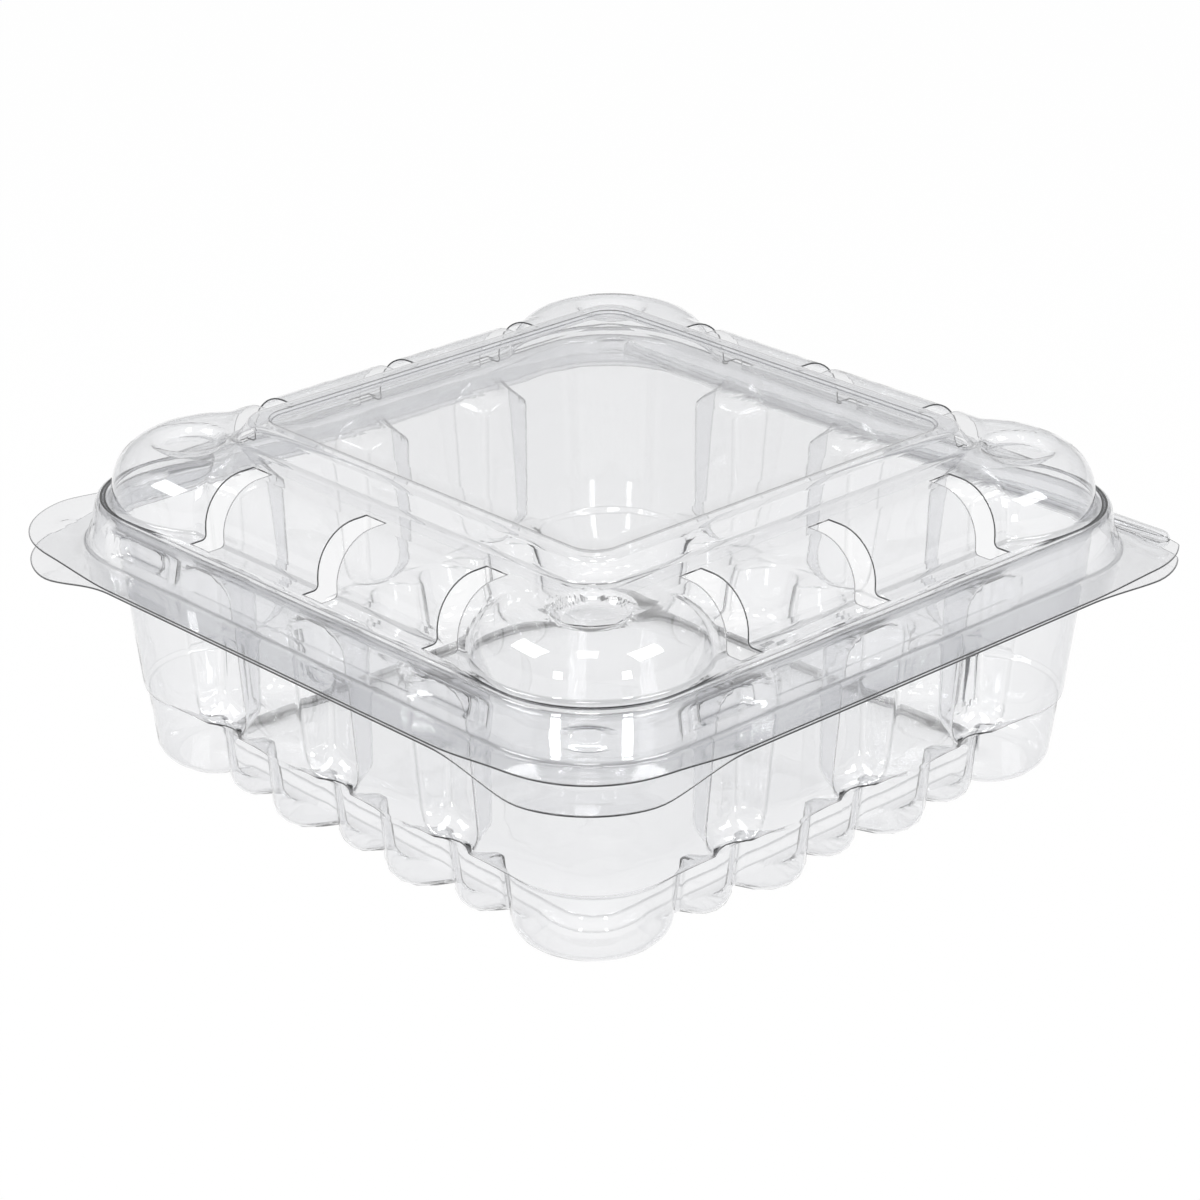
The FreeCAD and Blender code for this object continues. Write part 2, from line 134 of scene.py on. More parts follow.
# Light. A lamp is (name, place, aim, width, height, watts), in metres.
WHITE = (1.0, 1.0, 1.0, 1.0)
HORIZON_LIGHT, ZENITH_LIGHT = 0.68, 1.05
FLOOR_REACH, FLOOR_COLOUR, FLOOR_GLOW = 15.0, (0.02, 0.02, 0.02, 1.0), 0.97
BOUNCES, GLOSSY_BOUNCES = 22, 8
LAMPS = (
    ("left_window", (-0.35, -0.75, 0.75), (0, 0, 0.05), 0.55, 0.4, 4.2),
    ("right_window", (0.85, 0.25, 0.8), (0, 0, 0.05), 0.55, 0.4, 4.2),
    ("front_window", (0.45, -0.5, 1.0), (0, 0, 0.05), 0.3, 0.3, 1.8),
    ("front_strip", (0.35, -1.1, 0.2), (0, 0, 0.03), 0.16, 0.3, 1.8),
    ("side_strip", (1.1, -0.28, 0.2), (0, 0, 0.03), 0.16, 0.3, 1.8),
)

# The photograph's view. The focal length is in widths of the frame.
VIEW_AZIMUTH, VIEW_ELEVATION = 46.45, 23.55
VIEW_DISTANCE, VIEW_SLIDE, VIEW_DROP = 846.0, -0.55, -35.35
VIEW_FOCAL, SENSOR = 3803.0 / 1200.0, 36.0

QUARTER = math.pi / 2
ROOT_2 = math.sqrt(2)
TINY = 1e-9
LEAST_ACROSS, LEAST_DOWN, LEAST_NORMAL = 0.02, 0.01, 1e-12


class Layout:
    """Where a sheet's columns stand: x along one half side, then shares of the way to the diagonal."""

    def __init__(self, along, near_columns, far_columns):
        self.x = np.array(along, float)
        self.share = np.concatenate([
            np.arange(1, near_columns + 1) / near_columns * NEAR_SHARE,
            NEAR_SHARE + np.arange(1, far_columns + 1) / far_columns * (1 - NEAR_SHARE),
        ])
        self.start = self.x[-1]

    def half_side(self, half, x, y):
        """The columns on the line y = -half, followed by the given points up to the diagonal."""
        return np.concatenate([self.x, x]), np.concatenate([np.full(len(self.x), -half), y])


def whole_side(values):
    """Values of one half side, x growing, made into a whole side from its left diagonal."""
    return np.concatenate([values[:0:-1], values])


def along_path(share, pieces):
    """Points at equal shares of a path made of lines and arcs.

    A line is (x0, y0, x1, y1). An arc is (centre x, centre y, radius, first angle, last angle), and an
    angle a stands for the direction (sin a, -cos a)."""
    lengths = []
    for piece in pieces:
        if len(piece) == 4:
            x0, y0, x1, y1 = piece
            lengths.append(math.hypot(x1 - x0, y1 - y0))
        else:
            radius, a0, a1 = piece[2:]
            lengths.append(abs(radius * (a1 - a0)))
    ends = np.cumsum(lengths)
    s = share * ends[-1]
    x, y = np.zeros_like(s), np.zeros_like(s)
    for piece, length, end in zip(pieces, lengths, ends):
        here = (s >= end - length - TINY) & (s <= end + TINY)
        t = (s[here] - (end - length)) / max(length, TINY)
        if len(piece) == 4:
            x0, y0, x1, y1 = piece
            x[here], y[here] = x0 + (x1 - x0) * t, y0 + (y1 - y0) * t
        else:
            cx, cy, radius, a0, a1 = piece
            a = a0 + (a1 - a0) * t
            x[here], y[here] = cx + radius * np.sin(a), cy - radius * np.cos(a)
    return x, y


def square_ring(layout, half, corner):
    """Half a side of a rounded square: the line y = -half, then an eighth of a turn of the corner."""
    centre = half - corner
    x, y = along_path(layout.share, [
        (layout.start, -half, centre, -half),
        (centre, -centre, corner, 0.0, math.pi / 4),
    ])
    return layout.half_side(half, x, y)


def bulged_ring(layout, half, centre, radius, fillet):
    """Half a side of a square with a round bulge at its corner: a line, a hollow arc, the bulge's arc.

    The hollow arc touches the line and the bulge, so its centre is one fillet outside both."""
    reach = half - centre + fillet
    run = math.sqrt((radius + fillet) ** 2 - reach ** 2)
    lean = math.atan2(run, reach)
    x, y = along_path(layout.share, [
        (layout.start, -half, centre - run, -half),
        (centre - run, -half - fillet, fillet, math.pi, math.pi - lean),
        (centre, -centre, radius, -lean, math.pi / 4),
    ])
    return layout.half_side(half, x, y)


def blend(start, end, share, z):
    """A ring at a share of the way from one ring to another, at height z."""
    return start[0] + (end[0] - start[0]) * share, start[1] + (end[1] - start[1]) * share, z


def flange_rows(layout, root, z):
    """The flat flange, from the ring at its root out to its trimmed edge."""
    edge = square_ring(layout, FLANGE_HALF, FLANGE_CORNER)
    return [blend(root, edge, share, z) for share in FLANGE_SHARES]


def smooth_step(t):
    """0 below 0, 1 above 1, and 3t^2 - 2t^3 between."""
    t = np.clip(t, 0.0, 1.0)
    return t * t * (3 - 2 * t)


def soft_max(a, b, width):
    """The larger of two values, with the corner between them rounded over the width."""
    return 0.5 * (a + b + np.sqrt((a - b) ** 2 + width ** 2))


def arc_steps(count):
    """Sines and cosines of equal steps along a quarter turn, without its first point."""
    a = np.linspace(0.0, QUARTER, count + 1)[1:]
    return list(zip(np.sin(a), np.cos(a)))


def whole_arc(count):
    """The same steps with the first point."""
    return [(0.0, 1.0)] + arc_steps(count)


def quarter_turn(k):
    """Cosine and sine of k quarter turns, as whole numbers."""
    return round(math.cos(k * QUARTER)), round(math.sin(k * QUARTER))


def ring_grid(rows):
    """Rows of half a side, each (x, y, z), as a grid of whole rings: mirrored, then turned four ways."""
    grid = []
    for x, y, z in rows:
        side = np.stack([whole_side(values) for values in (x, y, np.broadcast_to(z, x.shape))], 1)
        side[:len(x) - 1, 0] *= -1
        grid.append(side[:-1])
    one = np.array(grid)
    turns = []
    for k in range(4):
        c, s = quarter_turn(k)
        turned = one.copy()
        turned[..., 0] = c * one[..., 0] - s * one[..., 1]
        turned[..., 1] = s * one[..., 0] + c * one[..., 1]
        turns.append(turned)
    return np.concatenate(turns, 1)


def sides_of(grid):
    """Which of the four sides each column belongs to."""
    return np.repeat(np.arange(4), grid.shape[1] // 4)


def bend_corners(grid, first_row, front_rise, back_rise):
    """Lifts the flange beyond the bend lines: a smooth step of the distance along the diagonal."""
    part = grid[first_row:]
    distance = (np.abs(part[..., 0]) + np.abs(part[..., 1])) / ROOT_2
    rise = np.where(part[..., 1] < 0, front_rise, back_rise)
    part[..., 2] += rise * smooth_step((distance - BEND_START) / BEND_RUN)


def pull_back_edge(grid, first_row):
    """Draws the flange's back in to the hinge: y beyond the skirt's foot is scaled."""
    y = grid[first_row:, :, 1]
    scale = (BEAD_Y - SKIRT_FOOT_HALF) / (FLANGE_HALF - SKIRT_FOOT_HALF)
    y[...] = np.where(y > SKIRT_FOOT_HALF, SKIRT_FOOT_HALF + (y - SKIRT_FOOT_HALF) * scale, y)


def bend_of(grid):
    """How sharply the sheet bends at each point: the larger turn of its normal along a row or a column.

    A turn is the difference of the unit normals of the two neighbours, divided by the mm between them."""
    down = np.gradient(grid, axis=0)
    across = np.roll(grid, -1, 1) - np.roll(grid, 1, 1)
    normal = np.cross(across, down)
    normal /= np.linalg.norm(normal, axis=-1, keepdims=True) + LEAST_NORMAL
    turn_across = np.linalg.norm(np.roll(normal, -1, 1) - np.roll(normal, 1, 1), axis=-1)
    turn_across /= np.linalg.norm(across, axis=-1) + LEAST_ACROSS
    turn_down = np.linalg.norm(np.gradient(normal, axis=0), axis=-1)
    turn_down /= np.linalg.norm(down, axis=-1) + LEAST_DOWN
    return np.maximum(turn_across, turn_down)


def mark_points(mesh, name, values):
    """Keeps one number per point of the mesh for the material to read."""
    data = mesh.attributes.new(name, "FLOAT", "POINT").data
    data.foreach_set("value", np.asarray(values, np.float32))


def smooth_mesh(name, points, faces):
    """A smooth-shaded mesh from points in millimetres about the tray's axis."""
    mesh = bpy.data.meshes.new(name)
    mesh.from_pydata(((points + (0.0, AXIS_Y, 0.0)) * MM).tolist(), [], faces)
    mesh.polygons.foreach_set("use_smooth", np.ones(len(mesh.polygons), bool))
    mesh.update()
    return mesh


def sheet_object(name, grid, left_out, cut, flip, body, node, material):
    """A formed sheet from a grid of rings: quads between neighbours, and a fan at the middle.

    left_out marks the quads that are punched away, cut the points on trimmed edges, to which the last
    ring is added. flip turns the faces over, for a sheet that is drawn from its middle down and out."""
    rows, columns = grid.shape[:2]
    number = np.arange(rows * columns).reshape(rows, columns)
    nxt = np.roll(number, -1, 1)
    quads = np.stack([number[:-1], number[1:], nxt[1:], nxt[:-1]], -1)[~left_out].reshape(-1, 4)
    middle = rows * columns
    fan = np.stack([np.full(columns, middle), number[0], nxt[0]], -1)
    if flip:
        quads, fan = quads[:, ::-1], fan[:, ::-1]
    centre = np.array([[0.0, 0.0, grid[0, 0, 2]]])
    points = np.concatenate([grid.reshape(-1, 3), centre])
    used = np.unique(np.concatenate([quads.ravel(), fan.ravel()]))
    new = np.full(len(points), -1)
    new[used] = np.arange(len(used))
    mesh = smooth_mesh(name, points[used], new[quads].tolist() + new[fan].tolist())
    cut[-1] = 1.0
    mark_points(mesh, "bend", np.append(bend_of(grid).ravel(), 0.0)[used])
    mark_points(mesh, "cut_edge", np.append(cut.ravel(), 0.0)[used])
    finish_sheet(name, mesh, body, node, material)


def finish_sheet(name, mesh, body, node, material):
    """Gives a drawn face the sheet's thickness behind it and the clear plastic, and sets it in the frame."""
    piece = bpy.data.objects.new(name, mesh)
    bpy.context.scene.collection.objects.link(piece)
    mesh.materials.append(material)
    solidify = piece.modifiers.new("thickness", "SOLIDIFY")
    solidify.thickness = SHEET * MM
    solidify.offset = -1.0
    solidify.use_rim = True
    piece.visible_shadow = False
    piece.visible_diffuse = False
    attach(piece, body)
    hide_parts(node)


def lid_rows(layout):
    """The lid's outer face, ring by ring, from the window's panel out to the flange's edge."""
    rows, marks = [], {}

    def square(half, corner, z):
        rows.append((*square_ring(layout, half, corner), z))

    def crown(inset, z):
        ring = bulged_ring(layout, CROWN_HALF - inset, POD_CENTRE, POD_RADIUS - inset, POD_FILLET)
        rows.append((*ring, z))

    # The sunk panel, its edge, and the window's rim and wall
    panel_z = WINDOW_Z - PANEL_DEPTH
    edge = square_ring(layout, PANEL_HALF - PANEL_EDGE / 2, PANEL_CORNER)
    for t in (0.25, 0.6, 0.9):
        rows.append((edge[0] * t, edge[1] * t, panel_z))
    for t in np.linspace(0, 1, 6):
        out = (t - 0.5) * PANEL_EDGE
        square(PANEL_HALF + out, PANEL_CORNER + out, panel_z + PANEL_DEPTH * smooth_step(t))
    flat_end = WINDOW_TOP_HALF - WINDOW_ROUND
    square((PANEL_HALF + flat_end) / 2, WINDOW_CORNER, WINDOW_Z)
    square(flat_end, WINDOW_CORNER, WINDOW_Z)
    for s, c in arc_steps(6):
        out, down = WINDOW_ROUND * s, WINDOW_ROUND * (1 - c)
        square(flat_end + out, WINDOW_CORNER + out, WINDOW_Z - down)
    for s, c in whole_arc(5):
        out, up = WINDOW_FILLET * (1 - c), WINDOW_FILLET * (1 - s)
        square(WINDOW_FOOT_HALF + out, WINDOW_CORNER + WINDOW_ROUND + out, CROWN_Z + up)

    # The flat crown, with a ring where the slots begin
    start = rows[-1]
    end = bulged_ring(layout, CROWN_HALF - CROWN_ROUND, POD_CENTRE, POD_RADIUS - CROWN_ROUND, POD_FILLET)
    slot_share = (SLOT_INNER + start[1][0]) / (start[1][0] - end[1][0])
    for t in np.unique(np.append(np.linspace(0, 1, 23)[1:-1], slot_share)):
        if abs(t - slot_share) < TINY:
            marks["slot_first"] = len(rows)
        rows.append(blend(start, end, t, CROWN_Z))

    # Over the shoulder and down to the ledge, with a ring where the slots end, then the ledge's groove
    for s, c in whole_arc(11):
        crown(CROWN_ROUND * (1 - s), CROWN_Z - CROWN_ROUND * (1 - c))
    foot = LEDGE_Z + CROWN_FILLET
    crown(0.0, foot)
    for s, c in arc_steps(4):
        crown(-CROWN_FILLET * (1 - c), foot - CROWN_FILLET * s)
    start = rows[-1]
    ledge_half, ledge_corner = SKIRT_TOP_HALF - LEDGE_ROUND, SKIRT_CORNER - LEDGE_ROUND
    end = square_ring(layout, ledge_half, ledge_corner)
    slot_share = (SLOT_OUTER + start[1][0]) / (start[1][0] - end[1][0])
    rows.append(blend(start, end, slot_share / 2, LEDGE_Z))
    marks["slot_last"] = len(rows)
    rows.append(blend(start, end, slot_share, LEDGE_Z))
    for t, down in LEDGE_GROOVE:
        rows.append(blend(start, end, slot_share + (1 - slot_share) * t, LEDGE_Z - down))
    square(ledge_half, ledge_corner, LEDGE_Z)

    # The skirt and its foot
    for s, c in arc_steps(5):
        square(ledge_half + LEDGE_ROUND * s, ledge_corner + LEDGE_ROUND * s, LEDGE_Z - LEDGE_ROUND * (1 - c))
    marks["skirt_first"] = len(rows)
    skirt_top, skirt_foot = LEDGE_Z - LEDGE_ROUND, SKIRT_HEIGHTS[-1]
    for z in SKIRT_HEIGHTS:
        t = (z - skirt_top) / (skirt_foot - skirt_top)
        square(SKIRT_TOP_HALF + (SKIRT_FOOT_HALF - SKIRT_TOP_HALF) * t, SKIRT_CORNER, z)
    marks["skirt_last"] = len(rows)
    for s, c in arc_steps(4):
        out = SKIRT_FILLET * (1 - c)
        square(SKIRT_FOOT_HALF + out, SKIRT_CORNER + out, skirt_foot - SKIRT_FILLET * s)

    marks["flange_first"] = len(rows)
    rows += flange_rows(layout, rows[-1], LID_TOP_Z)
    return rows, marks


def press_dimples(grid):
    """Sinks a round dish into the top of each pod: a smooth step of the distance from its middle."""
    x, y, z = grid[..., 0], grid[..., 1], grid[..., 2]
    distance = np.hypot(np.abs(x) - DIMPLE_CENTRE, np.abs(y) - DIMPLE_CENTRE)
    near = (z > CROWN_Z - CROWN_ROUND) & (z <= CROWN_Z + TINY)
    z -= near * DIMPLE_DEPTH * smooth_step((DIMPLE_RADIUS - distance) / DIMPLE_SLOPE)


def outward(part):
    """Unit vectors square to the skirt, in plan: away from the square that holds its corners' centres."""
    out = part[..., :2] - np.clip(part[..., :2], -SKIRT_CORE, SKIRT_CORE)
    return out / np.linalg.norm(out, axis=-1, keepdims=True)


def pocket_share(along, z, half_length, low, high, slope):
    """0 to 1: a smooth step of the way in from the edge of a rounded oblong, along from its middle."""
    dx = np.abs(along) - half_length + LATCH_CORNER
    dz = np.abs(z - (low + high) / 2) - (high - low) / 2 + LATCH_CORNER
    beyond = np.hypot(np.maximum(dx, 0), np.maximum(dz, 0)) + np.minimum(np.maximum(dx, dz), 0)
    return smooth_step((LATCH_CORNER - beyond) / slope)


def press_latches(grid, first, last, pockets):
    """Presses the snap pockets in, square to the skirt, between two rings."""
    side = sides_of(grid)
    for k, places in LATCHES.items():
        columns = np.where(side == k)[0]
        part = grid[first:last, columns[0]:columns[-1] + 1]
        c, s = quarter_turn(k)
        along, z = c * part[..., 0] + s * part[..., 1], part[..., 2]
        out = outward(part)
        for place in places:
            for half_length, low, high, slope, depth in pockets:
                share = pocket_share(along - place, z, half_length, low, high, slope)
                part[..., :2] -= depth * share[..., None] * out


def press_corners(grid, marks):
    """Skirt: the sides' middles stand back a little, and each corner has an oval button pressed in.

    Flange: a small oval is raised at each corner. Every one is a smooth step of its own distance."""
    skirt = grid[marks["skirt_first"]:marks["skirt_last"]]
    x, y, z = np.abs(skirt[..., 0]), np.abs(skirt[..., 1]), skirt[..., 2]
    fade = smooth_step((z - LID_TOP_Z - PANEL_ABOVE_FOOT) / PANEL_FADE)
    fade *= smooth_step((LEDGE_Z - PANEL_BELOW_LEDGE - z) / PANEL_FADE)
    back = PANEL_STEP * smooth_step((PANEL_END - np.minimum(x, y)) / PANEL_SLOPE) * fade
    button = np.hypot((x - y) / ROOT_2 / BUTTON_LENGTH, (z - BUTTON_Z) / BUTTON_HEIGHT)
    back += BUTTON_DEPTH * smooth_step((1 - button) / BUTTON_SLOPE)
    skirt[..., :2] -= back[..., None] * outward(skirt)

    flange = grid[marks["flange_first"]:]
    x, y = np.abs(flange[..., 0]), np.abs(flange[..., 1])
    oval = np.hypot((x - y) / ROOT_2 / OVAL_LENGTH, ((x + y) / ROOT_2 - OVAL_PLACE) / OVAL_WIDTH)
    flange[..., 2] += OVAL_RISE * smooth_step((1 - oval) / OVAL_SLOPE)


def along_side(grid, row):
    """Where each column stands along its own side, at one ring."""
    return np.where(sides_of(grid) % 2 == 0, grid[row, :, 0], grid[row, :, 1])


def punched_slots(grid, marks):
    """Marks the quads between the slots' edges, from the crown to the ledge."""
    out = np.zeros((grid.shape[0] - 1, grid.shape[1]), bool)
    along = along_side(grid, marks["slot_first"])
    step = np.roll(along, -1)
    for place in SLOT_PLACES:
        hit = (np.abs((along + step) / 2 - place) < SLOT_WIDTH / 2) & (np.abs(step - along) < SLOT_WIDTH)
        out[marks["slot_first"]:marks["slot_last"], hit] = True
    return out


def slot_sides(grid, marks):
    """1 at the points on the long sides of the slots, 0 elsewhere."""
    cut = np.zeros(grid.shape[:2])
    along = along_side(grid, marks["slot_first"])
    for place in SLOT_PLACES:
        hit = np.abs(np.abs(along - place) - SLOT_WIDTH / 2) < SLOT_EDGE / 4
        cut[marks["slot_first"]:marks["slot_last"] + 1, hit] = 1.0
    return cut


def lid_columns():
    """Half a side of the lid, with a narrow column along each long side of a slot."""
    half = SLOT_WIDTH / 2
    near, far = SLOT_PITCH - half, SLOT_PITCH + half
    return [0.0, half, half + SLOT_EDGE, 9, 15, 21, 26, 30, 33, near - SLOT_EDGE, near, 37, 39.1,
            far, far + SLOT_EDGE, 42.0]


def make_lid(material):
    """The lid's sheet."""
    rows, marks = lid_rows(Layout(lid_columns(), *LID_COLUMNS))
    grid = ring_grid(rows)
    press_dimples(grid)
    press_latches(grid, marks["skirt_first"], marks["skirt_last"], LID_POCKETS)
    press_corners(grid, marks)
    left_out, cut = punched_slots(grid, marks), slot_sides(grid, marks)
    pull_back_edge(grid, marks["skirt_last"])
    bend_corners(grid, marks["flange_first"], LID_FRONT_RISE, LID_BACK_RISE)
    sheet_object("lid_sheet", grid, left_out, cut, False, "lid", "lid", material)


def channel_share(x, z):
    """How deep the channels are pressed, from 0 to 1.

    s is the way in from the edge of an upright oblong with round ends, softened at the edge, and the
    share is 1 - (1 - s / wall)^2, where the wall widens toward the channel's foot."""
    across = np.abs((np.abs(x) + SLOT_PITCH / 2) % SLOT_PITCH - SLOT_PITCH / 2)
    low, high = STEP_Z - CHANNEL_SINK + CHANNEL_HALF, CHANNEL_TOP_Z - CHANNEL_HALF * CHANNEL_CAP
    dz = np.where(z < low, low - z, np.maximum(z - high, 0.0) * 2.0)
    s = CHANNEL_HALF - np.hypot(across, dz)
    s = soft_max(s, 0.0, CHANNEL_EDGE) - CHANNEL_EDGE * 0.02
    wall = CHANNEL_WALL + CHANNEL_FLARE * smooth_step((low - z) / CHANNEL_HALF)
    t = np.clip(s / wall, 0.0, 1.0)
    return (1 - (1 - t) ** 2) * (np.abs(x) < SLOT_PITCH + CHANNEL_HALF + CHANNEL_CLEAR)


def lobed_side(x, inset, half):
    """How far out the side stands at x: the softened larger of the plain side and the lobes' arcs."""
    out = np.full_like(x, half - inset)
    lobes = [(place, SMALL_LOBE_RADIUS, SMALL_LOBE_OUT) for place in (0.0, SLOT_PITCH)]
    lobes.append((SLOT_PITCH / 2, LARGE_LOBE_RADIUS, LARGE_LOBE_OUT))
    for place, radius, reach in lobes:
        square = (radius - inset) ** 2 - (x - place) ** 2
        arc = reach - radius + np.sqrt(np.maximum(square, 0.0))
        out = soft_max(out, np.where(square > 0, arc, 0.0), LOBE_BLEND)
    return out


def tray_rows(layout):
    """The tray's lower, outer face: from the floor's middle down its edge, up the wall, out to the flange."""
    rows, marks = [], {}
    count = len(layout.x)

    def square(half, corner, z):
        rows.append((*square_ring(layout, half, corner), z))

    def lower(inset, draft):
        """A ring of lobes and feet. The lobes draw in half as much as the feet do."""
        small = draft + inset
        x, y = bulged_ring(layout, LOWER_HALF - small, FOOT_CENTRE, FOOT_RADIUS - small, FOOT_FILLET)
        y[:count] = -lobed_side(x[:count], inset + draft / 2, LOWER_HALF - draft / 2)
        return x, y

    def wall(z):
        """A ring of the wall, which leans out, with the channels pressed in to one depth."""
        t = (z - STEP_Z) / (RIM_Z - STEP_Z)
        half = WALL_STEP_HALF + (WALL_TOP_HALF - WALL_STEP_HALF) * t
        corner = WALL_STEP_CORNER + (WALL_TOP_CORNER - WALL_STEP_CORNER) * t
        x, y = square_ring(layout, half, corner)
        return x, y + (half - CHANNEL_BACK) * channel_share(x, z)

    # The raised floor, its edge down to the resting ring, and the ring out to the lobes and feet
    foot_share = np.concatenate([np.zeros(count), smooth_step(layout.share / FOOT_START)])
    bottom = LOBE_LIFT * (1 - foot_share)
    edge = square_ring(layout, FLOOR_HALF, FLOOR_CORNER)
    for t in (0.2, 0.5, 0.8):
        rows.append((edge[0] * t, edge[1] * t, FLOOR_Z))
    for t in np.linspace(0, 1, 7):
        out = FLOOR_SLOPE * t
        square(FLOOR_HALF + out, FLOOR_CORNER + out, FLOOR_Z + (bottom - FLOOR_Z) * smooth_step(t))
    start, end = rows[-1], lower(LOWER_ROUND, LOWER_DRAFT)
    for t in (0.33, 0.66):
        rows.append(blend(start, end, t, bottom))

    # Round the bottom edge and up the lobes
    for s, c in whole_arc(9):
        rows.append((*lower(LOWER_ROUND * (1 - s), LOWER_DRAFT), bottom + LOWER_ROUND * (1 - c)))
    low = bottom + LOWER_ROUND
    for t in (0.33, 0.66, 1.0):
        rows.append((*lower(0.0, LOWER_DRAFT * (1 - t)), low + (STEP_Z - STEP_BELOW - low) * t))

    # The step, then the wall with its channels
    start, step_z = rows[-1], WALL_HEIGHTS[0]
    end = wall(step_z)
    for t in np.linspace(0, 1, 8)[1:-1]:
        share = 0.5 - 0.5 * math.cos(math.pi * t)
        rows.append(blend(start, end, share, start[2] + (step_z - start[2]) * t))
    for z in WALL_HEIGHTS:
        rows.append((*wall(z), z))

    # Over the rim and down its outside
    top_half = -rows[-1][1][0]
    for s, c in arc_steps(4):
        out = RIM_ROUND * (1 - c)
        square(top_half + out, WALL_TOP_CORNER + out, RIM_Z - RIM_ROUND * (1 - s))
    side_half, side_corner = RIM_TOP_HALF - SHEET, RIM_CORNER - SHEET
    for s, c in whole_arc(4):
        inset = RIM_ROUND * (1 - s)
        square(side_half - inset, side_corner - inset, RIM_Z - RIM_ROUND * (1 - c))
    marks["rim_side"] = len(rows)
    side_top, side_foot = RIM_Z - RIM_ROUND, TRAY_UNDER_Z + RIM_FILLET
    for t in np.linspace(0, 1, 11)[1:]:
        half = side_half + (RIM_FOOT_HALF - RIM_TOP_HALF) * t
        square(half, side_corner, side_top + (side_foot - side_top) * t)
    for s, c in arc_steps(4):
        out = RIM_FILLET * (1 - c)
        square(RIM_FOOT_HALF - SHEET + out, side_corner + out, side_foot - RIM_FILLET * s)

    marks["flange_first"] = len(rows)
    rows += flange_rows(layout, rows[-1], TRAY_UNDER_Z)
    return rows, marks


def tray_columns():
    """Half a side of the tray, close together at the channels' walls and mirrored about each lobe."""
    half = np.array(CHANNEL_COLUMNS + BESIDE_COLUMNS + (SLOT_PITCH / 2,))
    to_next = np.concatenate([half, SLOT_PITCH - half[-2::-1]])
    return np.concatenate([to_next, SLOT_PITCH + np.array(CHANNEL_COLUMNS[1:])])


def make_tray(material):
    """The tray's sheet."""
    rows, marks = tray_rows(Layout(tray_columns(), *TRAY_COLUMNS))
    grid = ring_grid(rows)
    left_out, cut = np.zeros((grid.shape[0] - 1, grid.shape[1]), bool), np.zeros(grid.shape[:2])
    press_latches(grid, marks["rim_side"], marks["flange_first"], TRAY_POCKETS)
    pull_back_edge(grid, marks["flange_first"])
    bend_corners(grid, marks["flange_first"], TRAY_FRONT_RISE, TRAY_BACK_RISE)
    sheet_object("tray_sheet", grid, left_out, cut, True, "base", "base_tray", material)


def make_bead(name, z, up, body, node, material):
    """Half-round bead along the crease with round ends.

    One parameter runs along it, closing in at both ends as a quarter circle does, and the other turns
    half round from the front edge to the back. up is 1 or -1."""
    ends = np.linspace(-QUARTER, QUARTER, BEAD_STEPS)
    left, right = ends[ends <= 0], ends[ends >= 0]
    x = np.concatenate([-BEAD_HALF + BEAD_RADIUS * np.sin(left), BEAD_HALF + BEAD_RADIUS * np.sin(right)])
    radius = BEAD_RADIUS * np.cos(np.concatenate([left, right]))
    turn = np.linspace(0, math.pi, BEAD_STEPS)
    r = np.maximum(radius, BEAD_TIP)[:, None]
    grid = np.stack([
        np.broadcast_to(x[:, None], (len(x), len(turn))),
        BEAD_Y - r * np.cos(turn),
        z + up * r * np.sin(turn),
    ], -1)
    number = np.arange(grid.shape[0] * grid.shape[1]).reshape(grid.shape[:2])
    quads = np.stack([number[:-1, :-1], number[1:, :-1], number[1:, 1:], number[:-1, 1:]], -1).reshape(-1, 4)
    if up < 0:
        quads = quads[:, ::-1]
    mesh = smooth_mesh(name, grid.reshape(-1, 3), quads.tolist())
    finish_sheet(name, mesh, body, node, material)


